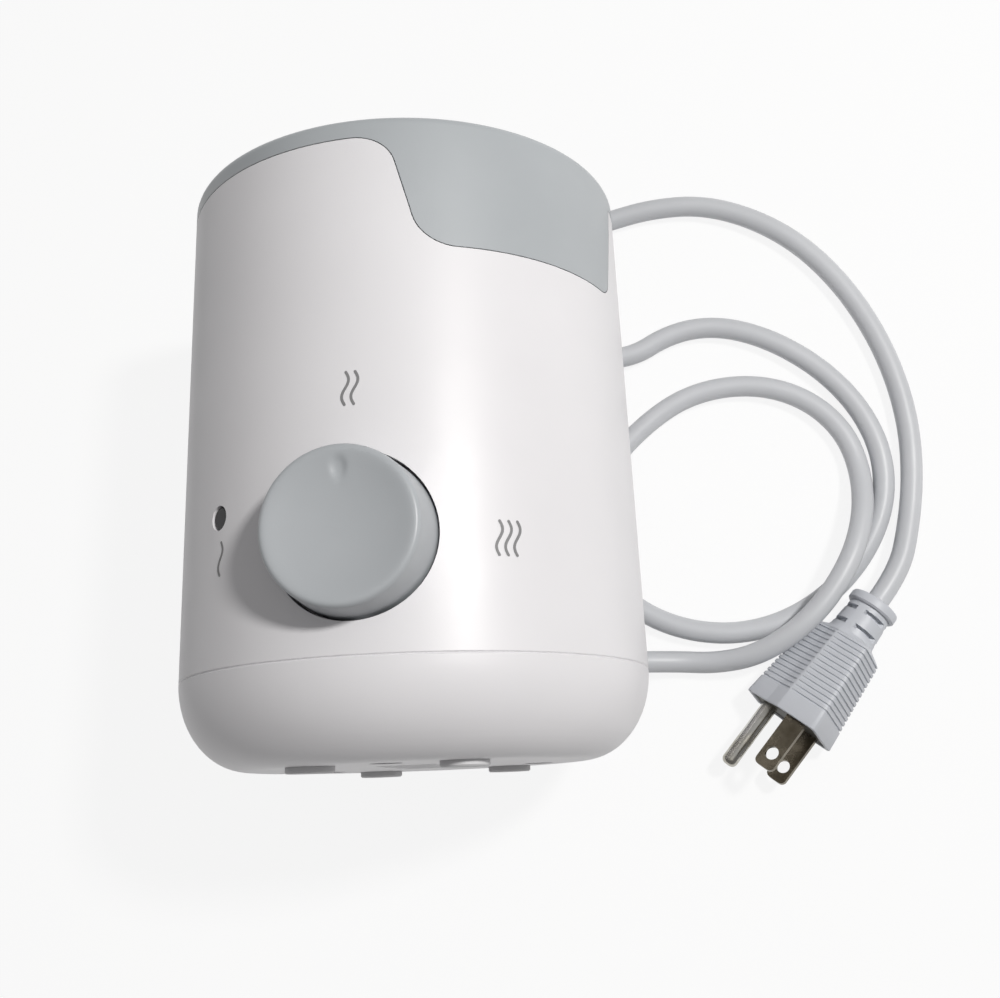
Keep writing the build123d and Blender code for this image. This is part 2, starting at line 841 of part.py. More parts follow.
# Shaft with its flat, from the switch into the knob's hub
shaft_back_y = opening_back_y - bush_length - shaft_bury
with BuildPart() as switch_shaft:
    with BuildSketch(front_plane(shaft_back_y, knob_height)):
        Circle(shaft_radius)
    extrude(amount=hub_back_y - shaft_back_y)
    with BuildSketch(front_plane(hub_back_y, knob_height)):
        Circle(shaft_radius)
        with Locations((0, shaft_radius * 2 - shaft_flat)):
            Rectangle(shaft_radius * 2, shaft_radius * 2, mode=Mode.SUBTRACT)
    extrude(amount=shaft_end_y - hub_back_y - turn_slip)
save(switch_shaft, "switch_shaft")

# Rotary switch between the control board and the knob's cup
switch_front_y = opening_back_y - slip
with BuildPart() as rotary_switch:
    with BuildSketch(front_plane(board_front_y, knob_height)):
        RectangleRounded(switch_side, switch_side, switch_corner)
    extrude(amount=switch_front_y - board_front_y)
    with BuildSketch(front_plane(switch_front_y, knob_height)):
        Circle(bush_radius)
    extrude(amount=bush_length)
    with BuildSketch(front_plane(shaft_back_y - turn_slip, knob_height)):
        Circle(shaft_radius + turn_slip)
    extrude(amount=seam_radius, mode=Mode.SUBTRACT)
save(rotary_switch, "rotary_switch")

# Control board behind the front wall, with its relay, capacitor and resistors
board_middle = (board_low + board_high) / 2
with BuildPart() as control_board:
    with BuildSketch(front_plane(board_back_y, board_middle)):
        RectangleRounded(2 * board_half_width, board_high - board_low, board_corner)
        with Locations((0, knob_height - board_middle)):
            with GridLocations(2 * board_post_x, 2 * board_post_z, 2, 2):
                Circle(board_screw_radius + slip, mode=Mode.SUBTRACT)
    extrude(amount=board_thickness)
    with BuildSketch(front_plane(board_front_y, knob_height)):
        with Locations((relay_x, 0)):
            Rectangle(relay_width, relay_height)
    extrude(amount=relay_depth)
    with BuildSketch(front_plane(board_front_y, knob_height)):
        with Locations((capacitor_x, capacitor_rise)):
            Circle(capacitor_radius)
    extrude(amount=capacitor_length)
    with BuildSketch(front_plane(board_front_y, knob_height)):
        with Locations((resistor_x, resistor_rise)):
            with GridLocations(0, resistor_pitch, 1, resistor_count):
                Rectangle(resistor_length, resistor_width)
    extrude(amount=resistor_depth)
save(control_board, "control_board")

# Screws that hold the board to the housing's posts
with BuildPart() as board_screws:
    with BuildSketch(front_plane(board_back_y, knob_height)):
        with GridLocations(2 * board_post_x, 2 * board_post_z, 2, 2):
            Circle(board_screw_head)
    extrude(amount=-board_screw_head_height)
    with BuildSketch(front_plane(board_back_y, knob_height)):
        with GridLocations(2 * board_post_x, 2 * board_post_z, 2, 2):
            Circle(board_screw_radius)
    extrude(amount=board_screw_length)
save(board_screws, "board_screws")

# Indicator: a dark lens in the skin, and the lamp behind it with its two leads
lens_front = skin_radius(lamp_height) - lens_sink
with BuildPart() as indicator_lens:
    with BuildSketch(bearing_plane(lamp_bearing, lamp_height, lens_front - lens_length)):
        Circle(lens_radius)
    extrude(amount=lens_length)
    lens_rims = indicator_lens.edges().filter_by(GeomType.CIRCLE)
    fillet(lens_rims.sort_by_distance((0, 0, lamp_height))[-1], radius=lens_sink)
save(indicator_lens, "indicator_lens")

led_front = lens_front - lens_length - lamp_gap
with BuildPart() as indicator_led:
    with BuildSketch(bearing_plane(lamp_bearing, lamp_height, led_front - led_length)):
        Circle(led_radius)
    extrude(amount=led_length - led_radius)
    with Locations(bearing_plane(lamp_bearing, lamp_height, led_front - led_radius)):
        Sphere(led_radius)
    lamp_base = bearing_plane(lamp_bearing, lamp_height, led_front - led_length)
    for side in (1, -1):
        root = lamp_base.origin + Vector(0, 0, side * lead_spread)
        back = root - lamp_base.z_dir * lead_stub
        with BuildLine() as leg:
            FilletPolyline(
                root,
                back,
                Vector(lead_entry_x, back.Y, root.Z),
                Vector(lead_entry_x, -board_back_y, root.Z),
                radius=lead_bend,
            )
        with BuildSketch(Plane(root, z_dir=leg.line % 0)):
            Circle(lead_radius)
        sweep(path=leg.wires()[0])
save(indicator_led, "indicator_led")

# Terminal block on its pad, with three wire holes through it and three screws on top
block_floor = foot_height + shell_wall + block_pad
with BuildPart() as terminal_block:
    with BuildSketch(Plane.XY.offset(block_floor)):
        with Locations((block_x, block_y)):
            RectangleRounded(block_length, block_width, block_corner)
    extrude(amount=block_height)
    with BuildSketch(Plane.XZ.offset(-block_y - block_width)):
        with Locations((block_x, block_floor + block_height / 2)):
            with GridLocations(block_pitch, 0, 3, 1):
                Circle(block_bore_radius)
    extrude(amount=block_width * 2, mode=Mode.SUBTRACT)
    with BuildSketch(Plane.XY.offset(block_floor + block_height)):
        with Locations((block_x, block_y)):
            with GridLocations(block_pitch, 0, 3, 1):
                Circle(block_screw_radius)
    extrude(amount=-block_screw_depth, mode=Mode.SUBTRACT)
save(terminal_block, "terminal_block")

# Gland: collar inside the boss, root through it and a tapered sleeve outside
with BuildPart() as cord_gland:
    with BuildSketch(gland_plane(-gland_collar)):
        Circle(gland_collar_radius)
    extrude(amount=gland_collar)
    with BuildSketch(gland_plane(0)):
        Circle(gland_root_radius)
    extrude(amount=gland_length - gland_sleeve)
    with BuildSketch(gland_plane(gland_length - gland_sleeve)):
        Circle(gland_root_radius)
    with BuildSketch(gland_plane(gland_length)):
        Circle(gland_tip_radius)
    loft()
save(cord_gland, "cord_gland")

# Inner end of the lead, stripped to its three wires past the clamp
with BuildPart() as cord_tail:
    with BuildSketch(gland_plane(-gland_collar)):
        Circle(cord_radius)
    extrude(amount=-tail_length)
save(cord_tail, "cord_tail")

# Clamp bar over the inner end of the lead, and its two screws into the saddle
clamp_seat = gland_height + cord_radius
bar_plane = Plane(saddle_centre - Vector(0, 0, gland_height - saddle_top), x_dir=gland_way)
bar_height = clamp_seat + saddle_gap + clamp_bar_height / 2 - saddle_top
with BuildPart() as cord_clamp:
    with BuildSketch(bar_plane):
        Rectangle(saddle_length, 2 * (cord_screw_spread + cord_screw_head))
        with GridLocations(0, 2 * cord_screw_spread, 1, 2):
            Circle(cord_screw_radius + slip, mode=Mode.SUBTRACT)
    extrude(amount=bar_height)
    with BuildSketch(gland_plane(-gland_collar)):
        Circle(cord_radius + turn_slip)
        with Locations((0, -cord_radius)):
            Rectangle(2 * (cord_radius + turn_slip), 2 * cord_radius)
    extrude(amount=-tail_length, mode=Mode.SUBTRACT)
save(cord_clamp, "cord_clamp")

with BuildPart() as cord_clamp_screws:
    with BuildSketch(bar_plane.offset(bar_height)):
        with GridLocations(0, 2 * cord_screw_spread, 1, 2):
            Circle(cord_screw_head)
    extrude(amount=cord_screw_head_height)
    with BuildSketch(bar_plane.offset(bar_height)):
        with GridLocations(0, 2 * cord_screw_spread, 1, 2):
            Circle(cord_screw_radius)
    extrude(amount=cord_screw_spare - cord_screw_length - bar_height)
save(cord_clamp_screws, "cord_clamp_screws")


def wire(points, bend):
    """Insulated wire along straight runs with rounded corners."""
    with BuildPart() as strand:
        with BuildLine() as way:
            FilletPolyline(*points, radius=bend)
        with BuildSketch(Plane(way.line @ 0, z_dir=way.line % 0)):
            Circle(wire_radius)
        sweep()
    return strand


# Wires from the lead's end to the terminal block, and on to the heater and the board
block_level = block_floor + block_height / 2
block_back = block_y + block_width / 2
block_front = block_y - block_width / 2
tail_end = gland_start - gland_way * (gland_collar + tail_length)
wire_names = ("live_wire", "neutral_wire", "earth_wire")
for place, name in zip((1, 0, -1), wire_names):
    root = tail_end - Vector(0, 0, place * wire_spread)
    column = block_x + place * block_pitch
    reach = (root.X - column) / gland_way.X
    strand = wire(
        [
            root,
            root - gland_way * reach,
            Vector(column, block_back + wire_run, block_level),
            Vector(column, block_back - wire_bury, block_level),
        ],
        wire_bend,
    )
    save(strand, name)

# Leads from the terminal block to the two tails of the heater
tail_foot = heater_level - heater_tail
tail_x = heater_ring_radius * sin(heater_half)
tail_y = heater_ring_radius * cos(heater_half)
with BuildPart() as heater_leads:
    for side, column in ((1, block_x + block_pitch), (-1, block_x)):
        strand = wire(
            [
                Vector(side * tail_x, tail_y, tail_foot),
                Vector(side * tail_x, tail_y, block_floor + block_height * 2),
                Vector(column, block_front - wire_run, block_level),
                Vector(column, block_front + wire_bury, block_level),
            ],
            wire_bend,
        )
        add(strand.part)
save(heater_leads, "heater_leads")

# Lead from the block to the board, and the two sensor leads from the thermostat to the board
board_middle_y = (board_front_y + board_back_y) / 2
board_column = block_x - block_pitch
board_lead = wire(
    [
        Vector(board_column, block_front + wire_bury, block_level),
        Vector(board_column, -board_middle_y, block_level),
        Vector(board_column, -board_middle_y, board_low),
    ],
    wire_bend,
)
save(board_lead, "board_lead")

tab_foot = plate_bottom - thermostat_height - tab_length
tab_x = thermostat_radius - tab_width / 2
with BuildPart() as sensor_leads:
    for side in (1, -1):
        strand = wire(
            [
                Vector(side * tab_x, 0, tab_foot),
                Vector(side * tab_x, 0, tab_foot - wire_run),
                Vector(side * sensor_spread, -sensor_turn, tab_foot - wire_run - sensor_fall),
                Vector(side * sensor_spread, -board_middle_y, tab_foot - wire_run),
                Vector(side * sensor_spread, -board_middle_y, board_low),
            ],
            sensor_bend,
        )
        add(strand.part)
save(sensor_leads, "sensor_leads")

# Power plug, in its own frame: out of the face along the blades, sideways towards the earth pin
plug_nose = Vector(
    cos(radians(plug_heading)) * cos(radians(plug_pitch)),
    sin(radians(plug_heading)) * cos(radians(plug_pitch)),
    sin(radians(plug_pitch)),
)
plug_left = Vector(sin(radians(plug_heading)), -cos(radians(plug_heading)), 0)
plug_side = plug_left.rotate(Axis((0, 0, 0), plug_nose), plug_roll)
plug_face = Plane(origin=(plug_x, plug_y, plug_z), x_dir=plug_side, z_dir=plug_nose)


def plug_plane(back, side=0.0):
    """Plane across the plug at a distance behind its face, moved towards the earth pin."""
    return Plane(
        origin=plug_face.origin - plug_nose * back + plug_side * side,
        x_dir=plug_side,
        z_dir=plug_nose,
    )


def plug_section(back, share):
    """Outline of the grip: a block round the blades and a thinner lobe round the earth pin."""
    with BuildSketch(plug_plane(back)) as section:
        with BuildLine():
            middle = plug_neck_centre
            low = middle - (middle + plug_back) * share
            corners = [
                (low, plug_half_height),
                (plug_shoulder, plug_half_height),
                (plug_lobe_start, (plug_half_height + plug_lobe_half) / 2),
                (plug_lobe_end, plug_lobe_half),
            ]
            side = [(x if x == low else middle + (x - middle) * share, y * share) for x, y in corners]
            FilletPolyline(
                *side, *[(x, -y) for x, y in reversed(side)],
                radius=plug_corner,
                close=True,
            )
        make_face()
    return section.sketch


bridge_outline = plug_section(bridge_sink + bridge_depth, bridge_share)

# Moulded body: grip that narrows backwards, neck, slots of the strain relief and its end ring
with BuildPart() as plug_body:
    add(plug_section(0, 1.0))
    add(plug_section(plug_grip_length, plug_grip_shrink))
    loft()
    with BuildSketch(plug_plane(plug_grip_length, plug_neck_centre)):
        Circle(plug_root_radius)
    with BuildSketch(plug_plane(plug_neck_end - flange_ring_length, plug_neck_centre)):
        Circle(plug_neck_radius)
    loft()
    with BuildSketch(plug_plane(plug_neck_end, plug_neck_centre)):
        Circle(flange_ring_radius)
    extrude(amount=flange_ring_length)
    fillet(
        plug_body.edges().filter_by(GeomType.CIRCLE).sort_by_distance(plug_plane(plug_neck_end).origin)[0],
        radius=flange_ring_edge,
    )
    for row in slot_rows:
        with BuildSketch(plug_plane(row + slot_length / 2, plug_neck_centre)):
            Circle(2 * flange_ring_radius)
            Circle(plug_neck_radius - slot_depth, mode=Mode.SUBTRACT)
            Rectangle(4 * flange_ring_radius, slot_bridge, mode=Mode.SUBTRACT)
            Rectangle(slot_bridge, 4 * flange_ring_radius, mode=Mode.SUBTRACT)
        extrude(amount=slot_length, mode=Mode.SUBTRACT)
    extrude(bridge_outline, amount=2 * bridge_depth, dir=plug_nose, mode=Mode.SUBTRACT)
    with BuildSketch(plug_plane(blade_bury)):
        with GridLocations(0, blade_pitch, 1, 2):
            Rectangle(blade_width, blade_thickness)
        with Locations((pin_offset, 0)):
            Circle(pin_radius)
    extrude(amount=blade_bury, mode=Mode.SUBTRACT)
plug_body.part.label = "plug_body"
export_step(plug_body.part, "parts/plug_body.step")

# Hard bridge that holds the pins, set into the face of the moulded body
with BuildPart() as plug_bridge:
    extrude(bridge_outline, amount=bridge_depth, dir=plug_nose)
    with BuildSketch(plug_plane(bridge_sink + bridge_depth)):
        with GridLocations(0, blade_pitch, 1, 2):
            Rectangle(blade_width, blade_thickness)
        with Locations((pin_offset, 0)):
            Circle(pin_radius)
    extrude(amount=bridge_depth, mode=Mode.SUBTRACT)
plug_bridge.part.label = "plug_bridge"
export_step(plug_bridge.part, "parts/plug_bridge.step")

# Two flat blades with their holes
with BuildPart() as plug_blades:
    with BuildSketch(plug_plane(blade_bury)):
        with GridLocations(0, blade_pitch, 1, 2):
            Rectangle(blade_width, blade_thickness)
    extrude(amount=blade_bury + blade_length)
    tips = plug_blades.faces().sort_by(Axis(plug_face.origin, plug_nose))[-2:]
    fillet(tips.edges().filter_by(Axis(plug_face.origin, plug_face.y_dir)), radius=blade_tip_radius)
    hole_plane = Plane(
        origin=plug_face.origin + plug_nose * blade_hole_reach, x_dir=plug_side, z_dir=plug_face.y_dir
    )
    with BuildSketch(hole_plane):
        Circle(blade_hole_radius)
    extrude(amount=blade_pitch, both=True, mode=Mode.SUBTRACT)
plug_blades.part.label = "plug_blades"
export_step(plug_blades.part, "parts/plug_blades.step")

# Round earth pin with its rounded tip
with BuildPart() as plug_earth_pin:
    with BuildSketch(plug_plane(pin_bury, pin_offset)):
        Circle(pin_radius)
    extrude(amount=pin_bury + pin_length)
    fillet(
        plug_earth_pin.edges().sort_by_distance(plug_face.origin + plug_nose * pin_length * 2)[0],
        radius=pin_tip_radius,
    )
plug_earth_pin.part.label = "plug_earth_pin"
export_step(plug_earth_pin.part, "parts/plug_earth_pin.step")

# The lead's jacket: straight runs joined by arcs, from the gland's tip to the back of the plug
laid_tip, laid_out = [
    (lying * Location(gland_start + gland_way * (gland_length + along))).position
    for along in (0, gland_approach)
]
plug_neck = plug_plane(plug_neck_end, plug_neck_centre).origin
route = [
    laid_tip,
    laid_out,
    *[Vector(*point) for point in lead_route],
    plug_neck - plug_nose * plug_approach,
    plug_neck,
]
bends = []
for before, corner, after in zip(route, route[1:], route[2:]):
    first, second = corner - before, after - corner
    half_turn = radians(first.get_angle(second)) / 2
    bends.append(bend_share * min(first.length, second.length) / tan(half_turn))
runs = [(b - a).length for a, b in zip(route, route[1:])]
with BuildPart() as power_cord:
    with BuildLine() as lead_line:
        FilletPolyline(*route, radius=bends)
    with BuildSketch(Plane(lead_line.line @ 0, z_dir=lead_line.line % 0)):
        Circle(cord_radius)
    sweep()
lead_length = lead_line.wires()[0].length
power_cord.part.label = "power_cord"
export_step(power_cord.part, "parts/power_cord.step")
print("bend radii of the lead", [round(bend, 1) for bend in bends])
print("lengths of the lead's runs", [round(run, 1) for run in runs])
print("length of the lead", round(lead_length, 1))
section_volume = pi * cord_radius**2 * lead_length
print("volume of the lead against section times length", round(power_cord.part.volume / section_volume, 4))
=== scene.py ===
"""Baby bottle and food warmer, lying on its back with its mains lead beside it, in metres."""

from math import atan2, cos, exp, hypot, pi, radians, sin

import bmesh
import bpy
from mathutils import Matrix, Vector


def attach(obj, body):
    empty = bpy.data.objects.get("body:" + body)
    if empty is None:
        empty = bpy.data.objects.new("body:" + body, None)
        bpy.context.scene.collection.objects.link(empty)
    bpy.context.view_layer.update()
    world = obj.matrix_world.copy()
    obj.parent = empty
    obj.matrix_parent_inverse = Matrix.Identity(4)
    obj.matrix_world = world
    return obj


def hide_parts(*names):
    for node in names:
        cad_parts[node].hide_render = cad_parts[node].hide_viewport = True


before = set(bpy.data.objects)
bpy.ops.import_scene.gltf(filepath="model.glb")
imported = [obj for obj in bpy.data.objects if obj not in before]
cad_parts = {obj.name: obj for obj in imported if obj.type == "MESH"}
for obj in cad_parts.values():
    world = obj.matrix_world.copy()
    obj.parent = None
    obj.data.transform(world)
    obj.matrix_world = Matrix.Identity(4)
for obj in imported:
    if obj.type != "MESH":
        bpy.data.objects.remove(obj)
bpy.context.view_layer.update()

scene = bpy.context.scene
scene.view_settings.view_transform = "Standard"


# Camera, held above the feet of the warmer and tilted a little towards its mouth and to the left.
# Its place, angles and lens give the outlines of the body and of the lead as they are seen.
camera_place = (0.07510, -0.08313, 0.37956)
camera_angles = (radians(13.003), radians(9.569), radians(-2.398))
camera_lens = 43.24

bpy.ops.object.camera_add(location=camera_place, rotation=camera_angles)
camera = bpy.context.object
camera.name = "camera"
camera.data.lens = camera_lens
camera.data.sensor_width = 36.0
camera.data.clip_start = 0.01
scene.camera = camera


# Floor: a plain pale sheet that the warmer lies on. It shows nearly white and keeps the shadows.
floor_size = 6.0

bpy.ops.object.select_all(action="DESELECT")
bpy.ops.mesh.primitive_plane_add(size=floor_size)
floor = bpy.context.object
floor.name = "floor"
floor_paint = bpy.data.materials.new("floor_paint")
floor_paint.use_nodes = True
nodes, links = floor_paint.node_tree.nodes, floor_paint.node_tree.links
nodes.clear()
output = nodes.new("ShaderNodeOutputMaterial")
matt = nodes.new("ShaderNodeBsdfDiffuse")
matt.inputs["Color"].default_value = (0.84, 0.84, 0.84, 1.0)
glow = nodes.new("ShaderNodeEmission")
glow.inputs["Color"].default_value = (1.0, 1.0, 1.0, 1.0)
rays = nodes.new("ShaderNodeLightPath")
seen = nodes.new("ShaderNodeMath")
seen.operation = "MAXIMUM"
links.new(rays.outputs["Is Camera Ray"], seen.inputs[0])
links.new(rays.outputs["Is Glossy Ray"], seen.inputs[1])
share = nodes.new("ShaderNodeMath")
share.operation = "MULTIPLY"
share.inputs[1].default_value = 0.88
links.new(seen.outputs[0], share.inputs[0])
blend = nodes.new("ShaderNodeMixShader")
links.new(share.outputs[0], blend.inputs[0])
links.new(matt.outputs[0], blend.inputs[1])
links.new(glow.outputs[0], blend.inputs[2])
links.new(blend.outputs[0], output.inputs["Surface"])
floor.data.materials.append(floor_paint)


# Light: a soft lamp high on the right, which throws the knob's shadow to the lower left, a broad
# weak one overhead, and an even pale sky.
key_way = Vector((0.53, 0.17, 0.83)).normalized()
key_reach = 0.9
key_size = 0.10
key_power = 5.1
top_power = 1.1
top_size = 1.2
top_height = 1.1
sky_strength = 0.20

bpy.ops.object.light_add(type="AREA", location=key_way * key_reach)
key = bpy.context.object
key.name = "key_lamp"
key.data.shape = "DISK"
key.data.size = key_size
key.data.energy = key_power
key.data.color = (1.0, 0.985, 0.965)
key.rotation_euler = key_way.to_track_quat("Z", "Y").to_euler()

bpy.ops.object.light_add(type="AREA", location=(0.1, 0.15, top_height))
top = bpy.context.object
top.name = "top_lamp"
top.data.shape = "SQUARE"
top.data.size = top_size
top.data.energy = top_power

sky = bpy.data.worlds.new("sky")
scene.world = sky
sky.use_nodes = True
nodes, links = sky.node_tree.nodes, sky.node_tree.links
nodes.clear()
output = nodes.new("ShaderNodeOutputWorld")
seen_sky = nodes.new("ShaderNodeBackground")
seen_sky.inputs["Color"].default_value = (1.0, 1.0, 1.0, 1.0)
seen_sky.inputs["Strength"].default_value = 1.0
lit_sky = nodes.new("ShaderNodeBackground")
lit_sky.inputs["Color"].default_value = (1.0, 0.985, 0.985, 1.0)
lit_sky.inputs["Strength"].default_value = sky_strength
rays = nodes.new("ShaderNodeLightPath")
blend = nodes.new("ShaderNodeMixShader")
links.new(rays.outputs["Is Camera Ray"], blend.inputs[0])
links.new(lit_sky.outputs[0], blend.inputs[1])
links.new(seen_sky.outputs[0], blend.inputs[2])
links.new(blend.outputs[0], output.inputs["Surface"])


def effect_group(name, inputs, outputs):
    """Node group of its own for an effect that several finishes share, with its two ends."""
    group = bpy.data.node_groups.new(name, "ShaderNodeTree")
    for label, kind, value in inputs:
        socket = group.interface.new_socket(name=label, in_out="INPUT", socket_type=kind)
        if value is not None:
            socket.default_value = value
    for label, kind in outputs:
        group.interface.new_socket(name=label, in_out="OUTPUT", socket_type=kind)
    return group, group.nodes.new("NodeGroupInput"), group.nodes.new("NodeGroupOutput")


# Moulded surface: what every plastic and rubber piece here shows close up. A fine spark-eroded
# grain stands in the surface, the colour is a little uneven, and gloss comes and goes with wear.
moulded, enter, leave = effect_group(
    "moulded_surface",
    (
        ("Vector", "NodeSocketVector", None),
        ("Colour", "NodeSocketColor", (0.8, 0.8, 0.8, 1.0)),
        ("Shade", "NodeSocketColor", (0.7, 0.7, 0.7, 1.0)),
        ("Grain Scale", "NodeSocketFloat", 1800.0),
        ("Roughness", "NodeSocketFloat", 0.4),
        ("Wear", "NodeSocketFloat", 0.1),
    ),
    (("Colour", "NodeSocketColor"), ("Roughness", "NodeSocketFloat"), ("Height", "NodeSocketFloat")),
)
grain = moulded.nodes.new("ShaderNodeTexNoise")
grain.inputs["Detail"].default_value = 2.0
moulded.links.new(enter.outputs["Vector"], grain.inputs["Vector"])
moulded.links.new(enter.outputs["Grain Scale"], grain.inputs["Scale"])
moulded.links.new(grain.outputs["Fac"], leave.inputs["Height"])
clouds = moulded.nodes.new("ShaderNodeTexNoise")
clouds.inputs["Scale"].default_value = 22.0
clouds.inputs["Detail"].default_value = 4.0
moulded.links.new(enter.outputs["Vector"], clouds.inputs["Vector"])
spread = moulded.nodes.new("ShaderNodeMapRange")
spread.inputs["From Min"].default_value = 0.35
spread.inputs["From Max"].default_value = 0.65
moulded.links.new(clouds.outputs["Fac"], spread.inputs["Value"])
tint = moulded.nodes.new("ShaderNodeMix")
tint.data_type = "RGBA"
moulded.links.new(spread.outputs["Result"], tint.inputs["Factor"])
moulded.links.new(enter.outputs["Colour"], tint.inputs[6])
moulded.links.new(enter.outputs["Shade"], tint.inputs[7])
moulded.links.new(tint.outputs[2], leave.inputs["Colour"])
rubs = moulded.nodes.new("ShaderNodeTexNoise")
rubs.inputs["Scale"].default_value = 75.0
rubs.inputs["Detail"].default_value = 6.0
rubs.inputs["Roughness"].default_value = 0.65
moulded.links.new(enter.outputs["Vector"], rubs.inputs["Vector"])
rubbed = moulded.nodes.new("ShaderNodeMath")
rubbed.operation = "MULTIPLY_ADD"
moulded.links.new(rubs.outputs["Fac"], rubbed.inputs[0])
moulded.links.new(enter.outputs["Wear"], rubbed.inputs[1])
moulded.links.new(enter.outputs["Roughness"], rubbed.inputs[2])
moulded.links.new(rubbed.outputs[0], leave.inputs["Roughness"])


def moulding(name, colour, shade, roughness, wear=0.10, grain_scale=1800.0, relief=0.00003, coat=0.0):
    """Finish of a moulded piece: its colour, the shade it clouds to, its gloss and its grain."""
    finish = bpy.data.materials.new(name)
    finish.use_nodes = True
    tree = finish.node_tree
    shader = tree.nodes["Principled BSDF"]
    shader.inputs["Coat Weight"].default_value = coat
    place = tree.nodes.new("ShaderNodeTexCoord")
    surface = tree.nodes.new("ShaderNodeGroup")
    surface.node_tree = moulded
    surface.inputs["Colour"].default_value = (*colour, 1.0)
    surface.inputs["Shade"].default_value = (*shade, 1.0)
    surface.inputs["Grain Scale"].default_value = grain_scale
    surface.inputs["Roughness"].default_value = roughness - wear / 2
    surface.inputs["Wear"].default_value = wear
    bump = tree.nodes.new("ShaderNodeBump")
    bump.inputs["Strength"].default_value = 0.5
    bump.inputs["Distance"].default_value = relief
    tree.links.new(place.outputs["Object"], surface.inputs["Vector"])
    tree.links.new(surface.outputs["Colour"], shader.inputs["Base Color"])
    tree.links.new(surface.outputs["Roughness"], shader.inputs["Roughness"])
    tree.links.new(surface.outputs["Height"], bump.inputs["Height"])
    tree.links.new(bump.outputs["Normal"], shader.inputs["Normal"])
    return finish


def dress(finish, *names):
    """Give pieces of the frame their finish."""
    for name in names:
        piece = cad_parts[name]
        piece.data.materials.clear()
        piece.data.materials.append(finish)


# Mains lead: a round flex in a soft light grey jacket, three quarters of a metre long.
# It leaves the back of the housing, loops twice beside the warmer and ends in its plug.
lead_diameter = 0.0066
lead_route = [
    (0.0579, -0.0482, 0.0074),
    (0.0682, -0.0483, 0.0037),
    (0.0800, -0.0496, 0.0046),
    (0.0925, -0.0484, 0.0094),
    (0.1050, -0.0420, 0.0134),
    (0.1154, -0.0322, 0.0136),
    (0.1236, -0.0198, 0.0126),
    (0.1284, -0.0060, 0.0086),
    (0.1293, 0.0080, 0.0036),
    (0.1258, 0.0205, 0.0034),
    (0.1170, 0.0310, 0.0034),
    (0.1046, 0.0374, 0.0034),
    (0.0906, 0.0390, 0.0034),
    (0.0766, 0.0362, 0.0034),
    (0.0642, 0.0286, 0.0034),
    (0.0528, 0.0180, 0.0034),
    (0.0450, 0.0044, 0.0034),
    (0.0438, -0.0106, 0.0034),
    (0.0496, -0.0240, 0.0034),
    (0.0606, -0.0338, 0.0034),
    (0.0744, -0.0396, 0.0034),
    (0.0896, -0.0410, 0.0034),
    (0.1046, -0.0374, 0.0034),
    (0.1184, -0.0290, 0.0034),
    (0.1292, -0.0168, 0.0034),
    (0.1358, -0.0022, 0.0034),
    (0.1364, 0.0134, 0.0034),
    (0.1310, 0.0286, 0.0034),
    (0.1208, 0.0420, 0.0034),
    (0.1078, 0.0522, 0.0034),
    (0.0950, 0.0582, 0.0034),
    (0.0835, 0.0599, 0.0034),
    (0.0725, 0.0578, 0.0034),
    (0.0619, 0.0520, 0.0034),
    (0.0498, 0.0519, 0.0034),
    (0.0392, 0.0574, 0.0034),
    (0.0323, 0.0673, 0.0034),
    (0.0310, 0.0792, 0.0034),
    (0.0353, 0.0903, 0.0034),
    (0.0445, 0.0980, 0.0034),
    (0.0563, 0.1009, 0.0034),
    (0.0714, 0.1037, 0.0034),
    (0.0882, 0.1030, 0.0034),
    (0.1044, 0.0962, 0.0034),
    (0.1186, 0.0852, 0.0034),
    (0.1298, 0.0706, 0.0034),
    (0.1380, 0.0542, 0.0034),
    (0.1432, 0.0372, 0.0034),
    (0.1454, 0.0204, 0.0034),
    (0.1446, 0.0040, 0.0034),
    (0.1414, -0.0114, 0.0050),
    (0.1367, -0.0257, 0.0070),
    (0.1288, -0.0348, 0.0077),
]

bpy.ops.object.select_all(action="DESELECT")
lead_curve = bpy.data.curves.new("mains_lead", "CURVE")
lead_curve.dimensions = "3D"
spline = lead_curve.splines.new("NURBS")
spline.points.add(len(lead_route) - 1)
for point, place in zip(spline.points, lead_route):
    point.co = (*place, 1.0)
spline.order_u = 3
spline.use_endpoint_u = True
spline.resolution_u = 8
lead_curve.bevel_depth = lead_diameter / 2
lead_curve.bevel_resolution = 8
lead_curve.use_fill_caps = True
lead = bpy.data.objects.new("mains_lead", lead_curve)
scene.collection.objects.link(lead)
jacket = moulding(
    "lead_jacket", (0.600, 0.615, 0.640), (0.560, 0.575, 0.600), 0.42, wear=0.16, grain_scale=2600.0, relief=0.00004
)
lead_curve.materials.append(jacket)
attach(lead, "root")
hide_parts("power_cord")


# Gland and tail: the bend guard moulded on the lead where it leaves the housing, and the end of
# the lead inside it. Both are of the jacket's own soft grey.
dress(jacket, "cord_gland", "cord_tail")


# Plug body: a soft light grey moulding round three pins, a block with a thinner lobe for the earth
# pin. Both grips have cut grooves either side of a raised line, and the neck has slots to bend.
plug_origin = Vector((0.1033, -0.07062, 0.012))
plug_nose = Vector((-0.652402, -0.755815, 0.055822))
plug_side = Vector((-0.706385, 0.579742, -0.406102))
plug_up = plug_nose.cross(plug_side)
plug_middle = 4.5
grip_corners = [
    (-7.3, 10.2), (6.0, 10.2), (10.5, 7.9), (18.6, 5.6), (18.6, -5.6), (10.5, -7.9), (6.0, -10.2), (-7.3, -10.2)
]
grip_corner_radius = 1.6
grip_corner_steps = 5
grip_edge_step = 1.7
grip_length = 29.0
grip_end_share = 0.80
grip_line = 6.0
grip_line_half = 1.3
groove_first = 6.2
groove_pitch = 1.66
groove_count = 14
groove_depth = 0.42
groove_rings = ((0.0, 0.0), (0.22, 1.0), (0.58, 1.0), (0.80, 0.0))
recess_share = 0.884
recess_depth = 4.6
